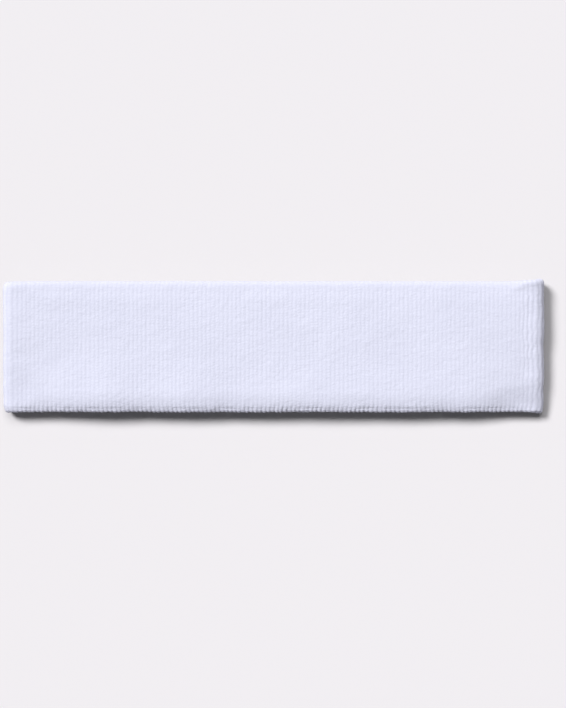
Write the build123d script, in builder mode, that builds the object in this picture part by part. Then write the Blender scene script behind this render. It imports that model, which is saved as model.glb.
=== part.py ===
"""Terry sports headband, lying flat.

The band is a seamless ring of ribbed terry, knitted as a tube twice the width of the band and folded double:
an outer ply and an inner ply that meet at both rims. Elastic yarns lie between the plies and run round the
ring. The two ends of the tube meet on the inner ply, where a seam thread joins them. The ring is pressed flat,
so that it is a back wall, a front wall lying on it, and a fold at each end.

X runs along the flat band, Y across it from rim to rim and Z up. The origin is on the surface under the middle
of the back wall. Each wall bends at hinge lines on its outer face, so it is made as panels, and each fold opens
about an axis of its own. The loop opens with the back centre panel at rest.
"""

from build123d import *
from math import radians, tan
import os

# The flat band, in millimetres.
band_width = 50.0
flat_length = 208.0
ply_thickness = 2.2  # one layer of terry with its pile
lay_gap = 0.3  # between the two walls that lie on each other

# Elastic yarns between the plies. Those of the two plies take turns across the band.
yarn_diameter = 0.6
yarn_clearance = 0.05
yarns_per_ply = 8

# The closing seam on the inner ply, as distances from the lower rim and into the pile.
seam_from_rim = 12.0
thread_diameter = 0.8
thread_clearance = 0.1
seam_slit = 0.1

# Panels of each wall, and how far the band bends between two of them when the loop is fully open, in degrees.
panels_per_wall = 5
bend_angle = 30.0
panel_gap = 0.3

# Sizes that follow.
core_height = yarn_diameter + 2 * yarn_clearance
core_width = band_width - 2 * ply_thickness
wall = 2 * ply_thickness + core_height
lay_height = wall + lay_gap / 2  # the plane where the two walls meet
fold_start = flat_length / 2 - lay_height
panel_length = 2 * fold_start / panels_per_wall
panels_per_half = (panels_per_wall - 1) // 2
end_lean = tan(radians(bend_angle / 2))
seam_y = seam_from_rim - band_width / 2

section_plane = Plane.YZ
lay_plane = Plane.XY.offset(lay_height)
middle_plane = Plane.YZ
fold_turn_axis = Axis((fold_start, 0, lay_height), (0, -1, 0))


def outer_terry_profile(x):
    """The lower half of the back wall's section: the ply that faces away from the head, round at both rims."""
    with BuildSketch(section_plane.offset(x)) as profile:
        with Locations((0, wall / 2)):
            SlotOverall(band_width, wall)
            SlotOverall(core_width, core_height, mode=Mode.SUBTRACT)
        with Locations((0, wall / 4)):
            Rectangle(band_width, wall / 2, mode=Mode.INTERSECT)
    return profile.sketch


def inner_terry_profile(x):
    """The upper half of the section: the ply that faces the head, in two strips that meet at the seam."""
    thread_room = thread_diameter + 2 * thread_clearance
    with BuildSketch(section_plane.offset(x)) as profile:
        with Locations((0, wall / 2)):
            SlotOverall(band_width, wall)
            SlotOverall(core_width, core_height, mode=Mode.SUBTRACT)
        with Locations((0, 3 * wall / 4)):
            Rectangle(band_width, wall / 2, mode=Mode.INTERSECT)
        with Locations((seam_y, 3 * wall / 4)):
            Rectangle(seam_slit, wall / 2, mode=Mode.SUBTRACT)
        with Locations((seam_y, wall - thread_room / 2)):
            Rectangle(thread_room, thread_room, mode=Mode.SUBTRACT)
    return profile.sketch


def elastic_yarns_profile(x):
    """Round yarns side by side in the gap between the plies."""
    yarn_count = 2 * yarns_per_ply
    with BuildSketch(section_plane.offset(x)) as profile:
        with Locations((0, wall / 2)):
            with GridLocations(core_width / yarn_count, 0, yarn_count, 1):
                Circle(yarn_diameter / 2)
    return profile.sketch


def seam_thread_profile(x):
    """The thread, sunk into its groove in the pile."""
    with BuildSketch(section_plane.offset(x)) as profile:
        with Locations((seam_y, wall - thread_clearance - thread_diameter / 2)):
            Circle(thread_diameter / 2)
    return profile.sketch


profiles = {
    "outer_terry": outer_terry_profile,
    "inner_terry": inner_terry_profile,
    "elastic_yarns": elastic_yarns_profile,
    "seam_thread": seam_thread_profile,
}


def back_panel(profile, start, end, start_leans=True, end_leans=True):
    """A straight stretch of the back wall. An end at a hinge line leans away from it, so that two neighbours
    meet face to face when the loop is open. Any other end is square, half a gap short of its line."""
    lean = wall * end_lean
    inner_start = start + panel_gap / 2 + (lean if start_leans else 0)
    inner_end = end - panel_gap / 2 - (lean if end_leans else 0)
    with BuildPart() as panel:
        extrude(profile(start), amount=end - start)
        with BuildSketch(Plane.XZ):
            with BuildLine():
                Polyline(
                    (start + panel_gap / 2, 0),
                    (end - panel_gap / 2, 0),
                    (inner_end, wall),
                    (inner_start, wall),
                    close=True,
                )
            make_face()
        extrude(amount=band_width / 2, both=True, mode=Mode.INTERSECT)
    return panel.part


def right_fold(profile):
    """The turned end: the wall's section swung half a turn about the line where the walls meet."""
    with BuildPart() as fold:
        revolve(profile(fold_start), axis=fold_turn_axis, revolution_arc=180)
    return fold.part


def turned_up(piece):
    """The same stretch of the front wall."""
    return mirror(piece, about=lay_plane)


def turned_left(piece):
    """The same piece of the left half."""
    return mirror(piece, about=middle_plane)


def save(piece, name):
    piece.label = name
    export_step(piece, f"parts/{name}.step")


os.makedirs("parts", exist_ok=True)

for layer, profile in profiles.items():
    half_panel = panel_length / 2
    save(back_panel(profile, -half_panel, half_panel), f"{layer}_back_center")

    center_half = turned_up(back_panel(profile, 0, half_panel, start_leans=False))
    save(center_half, f"{layer}_front_center_right")
    save(turned_left(center_half), f"{layer}_front_center_left")

    for number in range(1, panels_per_half + 1):
        start = (number - 0.5) * panel_length
        beside_fold = number == panels_per_half
        panel = back_panel(profile, start, start + panel_length, end_leans=not beside_fold)
        save(panel, f"{layer}_back_right_{number}")
        save(turned_left(panel), f"{layer}_back_left_{number}")
        save(turned_up(panel), f"{layer}_front_right_{number}")
        save(turned_left(turned_up(panel)), f"{layer}_front_left_{number}")

    fold = right_fold(profile)
    save(fold, f"{layer}_right_fold")
    save(turned_left(fold), f"{layer}_left_fold")
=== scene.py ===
import bpy
import numpy as np
from math import pi, radians
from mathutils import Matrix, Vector


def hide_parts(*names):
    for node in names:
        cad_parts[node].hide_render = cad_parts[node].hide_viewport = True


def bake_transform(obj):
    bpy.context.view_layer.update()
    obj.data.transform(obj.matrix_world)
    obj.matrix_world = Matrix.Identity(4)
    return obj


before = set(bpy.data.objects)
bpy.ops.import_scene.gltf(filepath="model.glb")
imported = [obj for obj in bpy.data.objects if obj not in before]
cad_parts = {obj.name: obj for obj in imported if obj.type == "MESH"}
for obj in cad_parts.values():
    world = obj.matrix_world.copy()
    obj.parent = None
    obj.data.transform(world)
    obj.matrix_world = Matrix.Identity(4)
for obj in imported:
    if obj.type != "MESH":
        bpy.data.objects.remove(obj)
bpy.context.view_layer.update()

# Camera. It looks straight down on the flat band with a long lens, from a little right of its middle and
# a little nearer its lower rim.
lens_length = 100.0
sensor_width = 36.0
view_height = 0.2722  # what the view takes in along its longer side, at the height of the folds
camera_aside = 0.00375
camera_below = 0.0027
fold_height = 0.0079

bpy.ops.object.select_all(action="DESELECT")
camera_height = fold_height + view_height * lens_length / sensor_width
bpy.ops.object.camera_add(location=(camera_aside, -camera_below, camera_height), rotation=(0, 0, 0))
camera = bpy.context.object
camera.data.lens = lens_length
camera.data.sensor_width = sensor_width
bpy.context.scene.camera = camera
bpy.context.scene.view_settings.view_transform = "Standard"

# Floor. A large sheet of pale matt board, smooth, with a very faint mauve cast.
floor_size = 8.0
floor_colour = (0.846, 0.822, 0.846, 1)

bpy.ops.mesh.primitive_plane_add(size=floor_size, location=(0, 0, 0))
floor = bpy.context.object
floor.name = "floor"
board = bpy.data.materials.new("pale_board")
board.use_nodes = True
board_shader = board.node_tree.nodes["Principled BSDF"]
board_shader.inputs["Base Color"].default_value = floor_colour
board_shader.inputs["Roughness"].default_value = 1.0
board_shader.inputs["Specular IOR Level"].default_value = 0.0
floor.data.materials.append(board)

# Light. A soft key from the upper left draws the shadow beside the right-hand fold, a wider fill from
# beyond the upper rim deepens it under the lower rim, and the rest is faint light from all round.
def soft_lamp(name, towards, spread, strength):
    bpy.ops.object.light_add(type="SUN", location=Vector(towards).normalized())
    lamp = bpy.context.object
    lamp.name = name
    lamp.rotation_euler = Vector(towards).to_track_quat("Z", "Y").to_euler()
    lamp.data.angle = radians(spread)
    lamp.data.energy = strength


soft_lamp("key_lamp", towards=(-0.63, 0.53, 1), spread=19, strength=2.865)
soft_lamp("far_lamp", towards=(0, 0.53, 1), spread=32, strength=1.01)
studio = bpy.data.worlds.new("studio")
studio.use_nodes = True
backdrop = studio.node_tree.nodes["Background"]
seen_or_lit = studio.node_tree.nodes.new("ShaderNodeMix")
seen_or_lit.data_type = "RGBA"
seen_or_lit.inputs[6].default_value = (0.058, 0.059, 0.063, 1)  # the light it gives
seen_or_lit.inputs[7].default_value = (0.888, 0.863, 0.888, 1)  # how pale it looks
rays = studio.node_tree.nodes.new("ShaderNodeLightPath")
studio.node_tree.links.new(rays.outputs["Is Camera Ray"], seen_or_lit.inputs[0])
studio.node_tree.links.new(seen_or_lit.outputs[2], backdrop.inputs["Color"])
bpy.context.scene.world = studio

# Terry tube. One seamless ring of ribbed cotton terry with some polyester, knitted as a tube twice as
# wide as the band and turned in on itself, so that it is double, with a soft round rim along each side.
# It is cut flat, rolled and laid round the ring in stretches.
band_width = 50.0  # all in millimetres
wall = 5.1
lay_height = 5.25  # the plane where the two walls meet
fold_start = 98.75
girth = 105.0  # of the section's flat cut
seam_y = -13.0
ribs_to_fold = 60  # from the back centre to where the fold starts
ribs_in_fold = 8
rib_columns = 6  # columns of mesh in a rib
section_rows = 300

rib_pitch = fold_start / ribs_to_fold
tip_rib = ribs_to_fold + ribs_in_fold // 2
half_ring = 2 * tip_rib  # from the back centre to the front centre, in ribs
ring_ribs = 2 * half_ring

# The folds: how square their outer face is, where 2 is round, and the room that the inner face leaves.
right_fold_squareness = 2.5
left_fold_squareness = 3.2
fold_hollow = 0.8  # how far the inner face gives way beside a fold
hollow_length = 6.0
hollow_tip = 2.2  # from the start of the fold to the inner face at its tip

# The rims: how far each reaches along the face, how deep it is under the face, and its squareness.
upper_rim_shape = (9.0, 2.1, 2.5)
lower_rim_shape = (8.0, 3.0, 2.0)
right_corner_shape = (1.7, 2.6, 3.0)
left_corner_shape = (3.2, 2.6, 2.2)
corner_lead = 12.0  # how far before a fold its corners start
inner_rim_reach = 4.0
inner_corner_reach = 2.2

# How the flat band lies: lifted in places along its lower rim, and pressed flatter at its lower corners.
# A slope is where it starts, out from the middle or down from it, and the length that it rises over.
rim_lift = 0.8
lifts_round = 26
rim_lift_slope = (2, 22)
corner_press = 0.17
corner_slopes = ((64, 38), (-15, 40))  # out, down
right_corner_press = 0.17
right_corner_slopes = ((74, 26), (14, 10))

# Where the bends at the ring's joints would lie. They are worked out, but no bend is made.
ribs_in_bend = 19
bend_lead = 3.0  # how far before a fold its bend starts

# The ribs, which run round the section. They wander, by these shares of a rib.
rim_start = 20.5  # from the middle of the band to where the knitting is like that of the rims
loose_ribs = 5  # before a fold, where the knitting gets like that of the fold
face_rib_depth = 0.098
lower_rim_rib_depth = 0.32
upper_rim_rib_depth = 0.05
right_fold_rib_depth = 0.2
inner_fold_rib_share = 0.35  # of a rib's depth, left on the inner face of a fold
rib_unevenness = 0.35
rib_wander = 0.07
fine_rib_wander = 0.03
rim_rib_wander = 0.3
right_fold_ruffle = 0.34
left_fold_ruffle = 0.1

# The pile: its loops along a rib, its lumps, and how far it swells past its usual level.
pile_level = 0.1  # under the CAD face
loop_height = 0.08
rim_loop_height = 0.2
loops_round = 98
lump_height = 0.07
fine_lump_height = 0.04
rim_lump_height = 0.15
fine_rim_lump_height = 0.12
upper_rim_lump_share = 0.3
right_tip_lump_height = 0.3
left_tip_lump_height = 0.2
upper_rim_swell = 0.36
lower_rim_swell = 0.28
right_tip_swell = 0.75
left_tip_swell = 0.36
upper_corner_flare = 0.5  # of the right fold, past the rim

# Two grooves: along the seam, and over the last course of loops before the lower rim.
seam_groove_depth = 0.6
seam_groove_width = 0.7
last_course_y = -23.7
last_course_depth = 0.14
last_course_width = 0.45


def smooth(share):
    share = np.clip(share, 0, 1)
    return share * share * (3 - 2 * share)


def rise(value, start, length):
    """0 up to the start and 1 from this length after it."""
    return smooth((value - start) / length)


def mixed(first, second, share):
    return first + (second - first) * share


def to_tip(rib):
    """A place round the ring as the same place in the quarter from the back centre to the right tip."""
    return tip_rib - np.abs(tip_rib - rib % half_ring)


def fold_outline(squareness):
    """A quarter of a fold's outer face, from the wall to the tip: shares of its length, and how far each
    is past the fold's start and off the plane where the walls meet."""
    turn = np.linspace(0, pi / 2, 200)
    past = lay_height * np.sin(turn) ** (2 / squareness)
    off = lay_height * np.cos(turn) ** (2 / squareness)
    length = np.concatenate([[0], np.cumsum(np.hypot(np.diff(past), np.diff(off)))])
    return length / length[-1], past, off


right_outline = fold_outline(right_fold_squareness)
left_outline = fold_outline(left_fold_squareness)


def ring_place(rib, depth):
    """X and Z of a point at this depth under the ring's outer face. Ribs are counted from the back
    centre over the right fold, the front centre and the left fold."""
    on_right = rib <= half_ring
    top = np.where(np.abs(half_ring - rib) < half_ring - tip_rib, 1.0, -1.0)
    place = to_tip(rib)
    beside = rise((place - ribs_to_fold) * rib_pitch, -hollow_length, hollow_length)
    turned = np.clip((place - ribs_to_fold) / (tip_rib - ribs_to_fold), 0, 1)
    right_past, right_off = (np.interp(turned, right_outline[0], run) for run in right_outline[1:])
    left_past, left_off = (np.interp(turned, left_outline[0], run) for run in left_outline[1:])
    lay_gap = lay_height - wall + fold_hollow * beside
    inner = mixed(lay_gap, hollow_tip, np.sin(turned * pi / 2) ** 2)
    past = mixed(np.where(on_right, right_past, left_past), inner * np.sin(turned * pi / 2), depth / wall)
    off = mixed(np.where(on_right, right_off, left_off), inner * np.cos(turned * pi / 2), depth / wall)
    reach = np.minimum(place, ribs_to_fold) * rib_pitch + past
    return np.where(on_right, reach, -reach), lay_height + top * off


def uneven(rib, around, swells, seed):
    """Smooth chance variation from -1 to 1 with this many swells round the ring and round the section. It
    runs on without a break in both directions."""
    swells_along, swells_round = swells
    heights = np.random.default_rng(seed).uniform(-1, 1, swells)
    a = rib / ring_ribs * swells_along
    b = around * swells_round
    column = np.floor(a).astype(int)
    row = np.floor(b).astype(int)
    rows = row % swells_round, (row + 1) % swells_round
    along = smooth(a - column)
    across = smooth(b - row)
    near, far = (
        mixed(heights[at % swells_along, rows[0]], heights[at % swells_along, rows[1]], across)
        for at in (column, column + 1)
    )
    return mixed(near, far, along)


def rim(reach, depth, squareness):
    """Half a rim, from a face of the tube to its edge: how far each point is out from where the rim starts
    and how deep it is under that face."""
    turn = np.linspace(0, pi / 2, 90)
    return reach * np.sin(turn) ** (2 / squareness), depth * (1 - np.cos(turn) ** (2 / squareness))


def rolled_section(rib, rows):
    """Y and depth of the tube's section at one place, from the seam over the upper rim and the outer face
    to the seam again, in steps of equal length."""
    at_fold = rise((to_tip(rib) - ribs_to_fold) * rib_pitch, -corner_lead, corner_lead)
    corner_shape = right_corner_shape if rib < half_ring else left_corner_shape
    edge = band_width / 2
    sides = []
    for rim_shape in (upper_rim_shape, lower_rim_shape):
        reach, depth, squareness = (mixed(*pair, at_fold) for pair in zip(rim_shape, corner_shape))
        outer_y, outer_depth = rim(reach, depth, squareness)
        inner_reach = mixed(inner_rim_reach, inner_corner_reach, at_fold)
        inner_y, inner_depth = rim(inner_reach, wall - depth, squareness)
        y = np.concatenate([inner_y + edge - inner_reach, (outer_y + edge - reach)[::-1]])
        sides.append((y, np.concatenate([wall - inner_depth, outer_depth[::-1]])))
    (upper_y, upper_depth), (lower_y, lower_depth) = sides
    y = np.concatenate([[seam_y], upper_y, -lower_y[::-1], [seam_y]])
    depth = np.concatenate([[wall], upper_depth, lower_depth[::-1], [wall]])
    length = np.concatenate([[0], np.cumsum(np.hypot(np.diff(y), np.diff(depth)))])
    steps = np.linspace(0, length[-1], rows)
    return np.interp(steps, length, y), np.interp(steps, length, depth)


def flat_cut(name, columns, rows):
    """A rectangle of mesh to be shaped, and the column and row that each of its points is in."""
    bpy.ops.object.select_all(action="DESELECT")
    bpy.ops.mesh.primitive_grid_add(x_subdivisions=columns, y_subdivisions=rows, size=1)
    piece = bpy.context.object
    piece.name = name
    points = np.empty(len(piece.data.vertices) * 3, np.float32)
    piece.data.vertices.foreach_get("co", points)
    points = points.reshape(-1, 3) + 0.5
    return piece, np.rint(points[:, 0] * columns).astype(int), np.rint(points[:, 1] * rows).astype(int)


def lay_cloth_map(piece, along, around):
    """The piece's own UV map, in millimetres of cloth."""
    piece.data.uv_layers[0].name = "cloth"
    corners = np.empty(len(piece.data.loops), np.int32)
    piece.data.loops.foreach_get("vertex_index", corners)
    flat = np.stack([along[corners], around[corners]], axis=1)
    piece.data.uv_layers[0].data.foreach_set("uv", flat.astype(np.float32).ravel())


def put_points(piece, x, y, z):
    """Puts the piece's points where they go, after the flat band is lifted and pressed."""
    lift = rim_lift * (1 + uneven(x / rib_pitch + half_ring, 0 * x, (lifts_round, 1), 13)) / 2
    out, down = corner_slopes
    at_corner = rise(np.abs(x), *out) * rise(-y, *down)
    out, down = right_corner_slopes
    at_right_corner = rise(x, *out) * rise(-y, *down)
    z = np.maximum(z, 0) * (1 - corner_press * at_corner - right_corner_press * at_right_corner)
    z = z + lift * rise(-y, *rim_lift_slope) * (1 - at_corner)
    piece.data.vertices.foreach_set("co", (np.stack([x, y, z], axis=1) * 0.001).astype(np.float32).ravel())
    piece.data.update()


def close_roll(piece):
    """Joins the cut's two long edges where they meet."""
    bpy.ops.object.mode_set(mode="EDIT")
    bpy.ops.mesh.select_all(action="SELECT")
    bpy.ops.mesh.remove_doubles(threshold=1e-6)
    bpy.ops.object.mode_set(mode="OBJECT")
    bpy.ops.object.shade_smooth()


def bend_with_ring(piece, first, second, start_rib, end_rib):
    """Takes the piece's placement into its mesh and drops its rib numbers. It works out the two ends of the
    bend over the ribs round its middle and, when one of its bodies is a fold, how far round the turn each
    point is, but nothing is moved by them."""
    middle = (start_rib + end_rib) / 2
    x, z = ring_place(np.array([middle - ribs_in_bend / 2, middle + ribs_in_bend / 2]), wall / 2)
    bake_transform(piece)
    rib = np.empty(len(piece.data.vertices), np.float32)
    piece.data.attributes["rib"].data.foreach_get("value", rib)
    piece.data.attributes.remove(piece.data.attributes["rib"])
    if "fold" in first + second:
        lead = bend_lead / lay_height
        before = (to_tip(rib) - ribs_to_fold) * rib_pitch / lay_height
        turned = np.where(before > 0, (to_tip(rib) - ribs_to_fold) / ribs_in_fold * pi, before)
        eased = np.maximum(turned + lead, 0)
        bent = np.where(eased < 2 * lead, eased**2 / (4 * lead), eased - lead)
        share = np.clip(bent / (pi / 2), 0, 1)
        share = 1 - share if "fold" in first else share


class Finish:
    """A value on its way to a shader. Arithmetic on it adds Math nodes."""

    def __init__(self, tree, socket=None):
        self.tree = tree
        self.socket = socket

    def node(self, kind, settings, values, output=0):
        made = self.tree.nodes.new(kind)
        for name, value in settings.items():
            setattr(made, name, value)
        for name, value in values.items():
            if isinstance(value, Finish):
                self.tree.links.new(value.socket, made.inputs[name])
            else:
                made.inputs[name].default_value = value
        return Finish(self.tree, made.outputs[output])

    def math(self, operation, first, second):
        return self.node("ShaderNodeMath", {"operation": operation}, {0: first, 1: second})

    def __add__(self, other):
        return self.math("ADD", self, other)

    def __sub__(self, other):
        return self.math("SUBTRACT", self, other)

    def __rsub__(self, other):
        return self.math("SUBTRACT", other, self)

    def __mul__(self, other):
        return self.math("MULTIPLY", self, other)

    __radd__ = __add__
    __rmul__ = __mul__

    def blend(self, first, second):
        """From the first colour, where this value is 0, to the second, where it is 1."""
        return self.node("ShaderNodeMix", {"data_type": "RGBA"}, {0: self, 6: first, 7: second}, output=2)


def new_finish(name):
    finish = bpy.data.materials.new(name)
    finish.use_nodes = True
    start = Finish(finish.node_tree)
    cloth = start.node("ShaderNodeUVMap", {"uv_map": "cloth"}, {})
    return finish, finish.node_tree.nodes["Principled BSDF"], start, cloth


def use(finish_value, shader, socket):
    finish_value.tree.links.new(finish_value.socket, shader.inputs[socket])


def roughen(shader, height, strength, distance):
    bump = height.node("ShaderNodeBump", {}, {"Height": height, "Strength": strength, "Distance": distance})
    use(bump, shader, "Normal")


# The cloth's lighter and darker colour. The mix between them gives random tone from the fibres, fuzz, clumps
# and wash, and painted shade in the valleys between the ribs and on the upper rim.
terry_light = (0.775, 0.786, 0.932, 1)
terry_shade = (0.62, 0.632, 0.775, 1)
# Painted shade: how much goes into the rib valleys on the face, and into the deeper valleys at the lower rim
# and the folds.
face_valley_shade = 0.5
deep_valley_shade = 0.8
# Painted shade on the upper rim, which tones down how brightly it is lit.
upper_rim_shade = 0.3
even_tone = 0.14  # how far the colour is towards the shade all over
# How far the painted shade takes the colour towards the darker one.
painted_shade_tone = 0.5
fibre_tone = 0.5
fuzz_tone = 0.45
clump_tone = 0.4
wash_tone = 0.3

terry_finish, terry_shader, start, cloth = new_finish("terry")
noise = "ShaderNodeTexNoise"
cells = "ShaderNodeTexVoronoi"
# Painted shade, read from the points: 1 where none is painted, less in the rib valleys and on the upper rim.
free_of_painted_shade = start.node("ShaderNodeAttribute", {"attribute_name": "free_of_painted_shade"}, {}, output=2)
fibres = start.node(noise, {}, {"Vector": cloth, "Scale": 2.4, "Detail": 3.0, "Roughness": 0.65})
fuzz_look = {"Scale": 8.0, "Detail": 3.0, "Roughness": 0.7, "Distortion": 0.8}
fuzz = start.node(noise, {}, {"Vector": cloth, **fuzz_look})
loops = start.node(cells, {"feature": "SMOOTH_F1"}, {"Vector": cloth, "Scale": 1.25, "Smoothness": 0.6})
clumps = start.node(noise, {}, {"Vector": cloth, "Scale": 0.8, "Detail": 2.0})
wash = start.node(noise, {}, {"Vector": cloth, "Scale": 0.05, "Detail": 1.0})
fine_shade = (fibres - 0.5) * fibre_tone + (fuzz - 0.5) * fuzz_tone
broad_shade = (clumps - 0.5) * clump_tone + (wash - 0.5) * wash_tone
# The painted shade of the valleys and the upper rim, with the random tone of the fibres, fuzz, clumps and
# wash.
shade = (1 - free_of_painted_shade) * painted_shade_tone + fine_shade + broad_shade + even_tone
use(shade.blend(terry_light, terry_shade), terry_shader, "Base Color")
nap = fibres * 0.12 + fuzz * 0.07 - loops * 0.14 + clumps * 0.07
roughen(terry_shader, nap, strength=0.4, distance=0.001)
terry_shader.inputs["Roughness"].default_value = 0.95
terry_shader.inputs["Specular IOR Level"].default_value = 0.15
terry_shader.inputs["Sheen Weight"].default_value = 0.2
terry_shader.inputs["Sheen Roughness"].default_value = 0.6

stretches = [  # body at its first end, body at its other end, first rib, last rib
    ("back_center", "back_right_1", 0, 24),
    ("back_right_1", "back_right_2", 24, 48),
    ("back_right_2", "right_fold", 48, 64),
    ("right_fold", "front_right_2", 64, 80),
    ("front_right_2", "front_right_1", 80, 104),
    ("front_right_1", "front_center_right", 104, 128),
    ("front_center_left", "front_left_1", 128, 152),
    ("front_left_1", "front_left_2", 152, 176),
    ("front_left_2", "left_fold", 176, 192),
    ("left_fold", "back_left_2", 192, 208),
    ("back_left_2", "back_left_1", 208, 232),
    ("back_left_1", "back_center", 232, 256),
]


def stand_for(first, second, layers):
    """A stretch replaces the CAD pieces of the body at its other end. The front centre's left half has
    no stretch that ends there, so the one that starts there takes it too."""
    bodies = [first, second] if first == "front_center_left" else [second]
    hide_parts(*[f"{layer}_{body}" for layer in layers for body in bodies])


def add_values(piece, name, values):
    piece.data.attributes.new(name, "FLOAT", "POINT").data.foreach_set("value", values.astype(np.float32))


def near_rim(y):
    return rise(np.abs(y), rim_start, band_width / 2 - rim_start)


def near_fold(rib):
    return rise(to_tip(rib), ribs_to_fold - loose_ribs, loose_ribs)


def wandering(rib, around, y):
    """The rib number with its wander."""
    wander = rib_wander * uneven(rib, around, (128, 16), 1)
    wander += fine_rib_wander * uneven(rib, around, (256, 60), 2)
    ruffle = 0.6 * uneven(rib, around, (128, 24), 3) + 0.5 * uneven(rib, around, (128, 58), 12)
    wander += np.where(rib < half_ring, right_fold_ruffle, left_fold_ruffle) * near_fold(rib) * ruffle
    wander += rim_rib_wander * rise(np.abs(y), 22, 3) * uneven(rib, 0 * around, (14, 1), 11)
    return rib + wander


def ribs_and_loops(rib, around, y, depth):
    """How deep the valleys between the ribs and between their loops are, and how near each point is to the
    middle of a valley, from 0 to 1."""
    at_lower_rim = near_rim(y) * (y < 0)
    wandered = wandering(rib, around, y)
    valley = (0.5 - 0.5 * np.cos(2 * pi * wandered)) ** 2
    rim_rib_depth = np.where(y < 0, lower_rim_rib_depth, upper_rim_rib_depth)
    fold_rib_depth = np.where(rib < half_ring, right_fold_rib_depth, 0) * near_fold(rib)
    rib_depth = np.maximum(mixed(face_rib_depth, rim_rib_depth, near_rim(y)), fold_rib_depth)
    rib_depth *= 1 + rib_unevenness * uneven(rib, around, (256, 24), 4)
    rib_depth *= mixed(1, inner_fold_rib_share, near_fold(rib) * depth / wall)
    stagger = 2 * uneven(np.rint(wandered), 0 * around, (256, 1), 5)
    between_loops = (1 - np.cos(2 * pi * (around * loops_round + stagger))) / 2
    loop_depth = mixed(loop_height, rim_loop_height, at_lower_rim) * (1 - valley) * between_loops
    return rib_depth * valley + loop_depth, valley


def lumps(rib, around, y):
    fine = fine_lump_height * uneven(rib, around, (230, 90), 6)
    broad = lump_height * uneven(rib, around, (60, 20), 7)
    fine_rim = fine_rim_lump_height * uneven(rib, around, (250, 50), 8)
    broad_rim = rim_lump_height * uneven(rib, around, (40, 6), 9)
    at_rim = near_rim(y) * np.where(y < 0, 1, upper_rim_lump_share)
    tip_lump_height = np.where(rib < half_ring, right_tip_lump_height, left_tip_lump_height)
    at_tip = near_fold(rib) * tip_lump_height * uneven(rib, around, (40, 26), 10)
    return fine + broad + at_rim * (fine_rim + broad_rim) + at_tip


def grooves(rib, around, y, depth):
    from_seam = np.minimum(around, 1 - around) * girth
    seam_groove = seam_groove_depth * np.exp(-((from_seam / seam_groove_width) ** 2))
    last_course = last_course_depth * np.exp(-(((y - last_course_y) / last_course_width) ** 2))
    on_outer_face = depth < 2.4
    return seam_groove + last_course * on_outer_face * (1 + uneven(rib, around, (256, 9), 14))


def swell(rib, y):
    at_rim = near_rim(y) * np.where(y < 0, lower_rim_swell, upper_rim_swell)
    at_tip = rise(to_tip(rib), ribs_to_fold, tip_rib - ribs_to_fold)
    return np.maximum(at_rim, at_tip * np.where(rib < half_ring, right_tip_swell, left_tip_swell))


for first, second, start_rib, end_rib in stretches:
    columns = (end_rib - start_rib) * rib_columns
    piece, column, row = flat_cut(f"terry_{second}", columns, section_rows)
    ribs = np.linspace(start_rib, end_rib, columns + 1)
    section = np.array([rolled_section(rib, section_rows + 1) for rib in ribs])
    slope = np.gradient(section, axis=2)
    slope /= np.hypot(slope[:, :1], slope[:, 1:])
    y, depth = section[column, 0, row], section[column, 1, row]
    out_y, out_depth = -slope[column, 1, row], slope[column, 0, row]
    rib, around = ribs[column], row / section_rows

    knitted, valley = ribs_and_loops(rib, around, y, depth)
    relief = pile_level + knitted + lumps(rib, around, y) + grooves(rib, around, y, depth) - swell(rib, y)
    flare = np.where(rib < half_ring, upper_corner_flare, 0) * near_fold(rib) * rise(y, 12, 12)
    x, z = ring_place(rib, depth - out_depth * relief)
    put_points(piece, x, y - out_y * relief + flare, z)
    lay_cloth_map(piece, rib * rib_pitch, around * girth)
    # Painted shade: the colour gets darker in the valleys between the ribs, more so at the lower rim and the
    # folds, and is stored on the points.
    at_deep_ribs = np.maximum(near_rim(y) * (y < 0), near_fold(rib))
    valley_shade = valley * mixed(face_valley_shade, deep_valley_shade, at_deep_ribs)
    # Painted shade on the upper rim too: darker colour there to tone down how brightly it is lit.
    rim_shade = upper_rim_shade * rise(y, 21, 3) * (1 - valley_shade)
    add_values(piece, "rib", rib)
    add_values(piece, "free_of_painted_shade", 1 - valley_shade - rim_shade)
    close_roll(piece)
    piece.data.materials.append(terry_finish)
    bend_with_ring(piece, first, second, start_rib, end_rib)
    stand_for(first, second, ["outer_terry", "inner_terry"])
    piece.visible_diffuse = False

# Elastic yarns. Rubber cores covered with a spun thread, laid into both plies of the knitting, so that
# they run round the ring between them, and the band holds on the head.
yarn_radius = 0.3
yarn_spacing = 2.85
yarn_count = 16
yarn_columns = 2  # of mesh in a rib
yarn_sides = 8
yarn_cover = (0.80, 0.80, 0.84, 1)
yarn_cover_shade = (0.60, 0.60, 0.66, 1)

yarn_finish, yarn_shader, start, cloth = new_finish("covered_elastic_yarn")
slanting = {"bands_direction": "DIAGONAL"}
# The wave's darker bands are painted shade in the grooves between the cover's wraps; the wave also gives
# their bump.
wrap = start.node("ShaderNodeTexWave", slanting, {"Vector": cloth, "Scale": 1.6, "Distortion": 0.6})
use(wrap.blend(yarn_cover_shade, yarn_cover), yarn_shader, "Base Color")
roughen(yarn_shader, wrap, strength=0.4, distance=0.0001)
yarn_shader.inputs["Roughness"].default_value = 0.6


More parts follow.
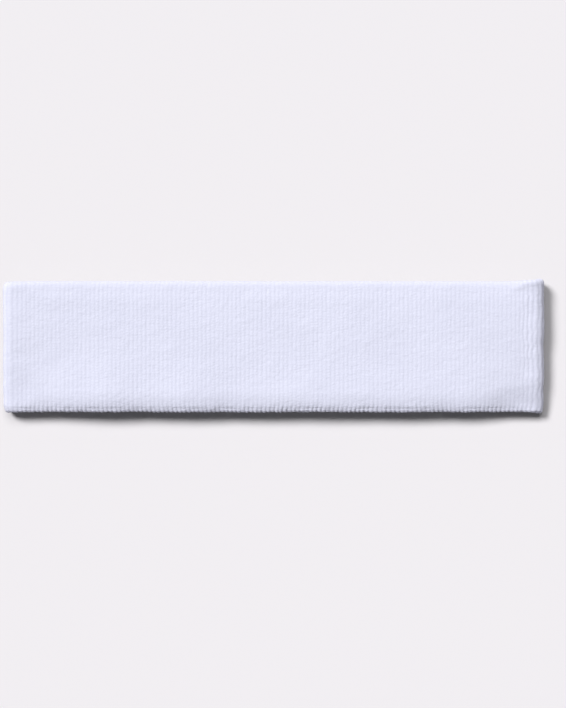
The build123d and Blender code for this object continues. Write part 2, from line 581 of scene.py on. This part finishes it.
def laid_strand(name, span, columns_per_rib, sides, radius, line):
    """A round strand from the first rib to the last of a span. The line gives its Y and depth at each rib."""
    start_rib, end_rib = span
    columns = (end_rib - start_rib) * columns_per_rib
    piece, column, row = flat_cut(name, columns, sides)
    ribs = np.linspace(start_rib, end_rib, columns + 1)
    centre = np.stack([ribs * rib_pitch, *line(ribs)], axis=1)
    step = 0.01
    climb = [(later - earlier) / (2 * step) for later, earlier in zip(line(ribs + step), line(ribs - step))]
    ahead = np.stack([np.full(len(ribs), rib_pitch), *climb], axis=1)
    ahead /= np.linalg.norm(ahead, axis=1)[:, None]
    aside = np.cross(ahead, (0, 0, 1))
    aside /= np.linalg.norm(aside, axis=1)[:, None]
    upward = np.cross(aside, ahead)
    turn = row / sides * 2 * pi
    out = np.cos(turn)[:, None] * aside[column] + np.sin(turn)[:, None] * upward[column]
    point = centre[column] + radius * out
    x, z = ring_place(np.clip(point[:, 0] / rib_pitch, 0, ring_ribs), point[:, 2])
    put_points(piece, x, point[:, 1], z)
    lay_cloth_map(piece, centre[column, 0], turn * radius)
    add_values(piece, "rib", ribs[column])
    close_roll(piece)
    return piece


def yarn_line(number):
    """Straight round the ring, midway between the two faces."""
    yarn_y = (number - (yarn_count - 1) / 2) * yarn_spacing
    return lambda rib: (np.full(len(rib), yarn_y), np.full(len(rib), wall / 2))


def joined(strands):
    bpy.ops.object.select_all(action="DESELECT")
    for strand in strands:
        strand.select_set(True)
    bpy.context.view_layer.objects.active = strands[0]
    bpy.ops.object.join()
    return strands[0]


for first, second, start_rib, end_rib in stretches:
    name = f"elastic_yarns_in_{second}"
    yarns = joined(
        [
            laid_strand(name, (start_rib, end_rib), yarn_columns, yarn_sides, yarn_radius, yarn_line(number))
            for number in range(yarn_count)
        ]
    )
    yarns.data.materials.append(yarn_finish)
    bend_with_ring(yarns, first, second, start_rib, end_rib)
    stand_for(first, second, ["elastic_yarns"])

# Seam thread. The two ends of the knitted tube meet on the inner ply, and a linking machine joins them
# loop by loop with a soft thread, which crosses the join once to each rib and sinks into the pile.
stitch_radius = 0.2
stitch_reach = 0.75
stitch_depth = 4.6
stitch_lift = 0.15
stitch_columns = 8  # of mesh in a rib
stitch_sides = 6
thread_white = (0.78, 0.79, 0.88, 1)
thread_shade = (0.62, 0.63, 0.74, 1)

thread_finish, thread_shader, start, cloth = new_finish("seam_thread")
# The wave's darker bands are painted shade in the grooves of the twist; the wave also gives their bump.
twist = start.node("ShaderNodeTexWave", slanting, {"Vector": cloth, "Scale": 1.4, "Distortion": 0.4})
use(twist.blend(thread_shade, thread_white), thread_shader, "Base Color")
roughen(thread_shader, twist, strength=0.5, distance=0.0001)
thread_shader.inputs["Roughness"].default_value = 0.75
thread_shader.inputs["Sheen Weight"].default_value = 0.15


def stitch_line(side):
    """One of the two runs of the thread, which cross over and under each other."""

    def line(rib):
        y = seam_y + side * stitch_reach * np.sin(2 * pi * rib)
        return y, stitch_depth + side * stitch_lift * np.cos(2 * pi * rib)

    return line


for first, second, start_rib, end_rib in stretches:
    name = f"seam_thread_in_{second}"
    span = start_rib, end_rib
    thread = joined(
        [
            laid_strand(name, span, stitch_columns, stitch_sides, stitch_radius, stitch_line(side))
            for side in (1, -1)
        ]
    )
    thread.data.materials.append(thread_finish)
    bend_with_ring(thread, first, second, start_rib, end_rib)
    stand_for(first, second, ["seam_thread"])
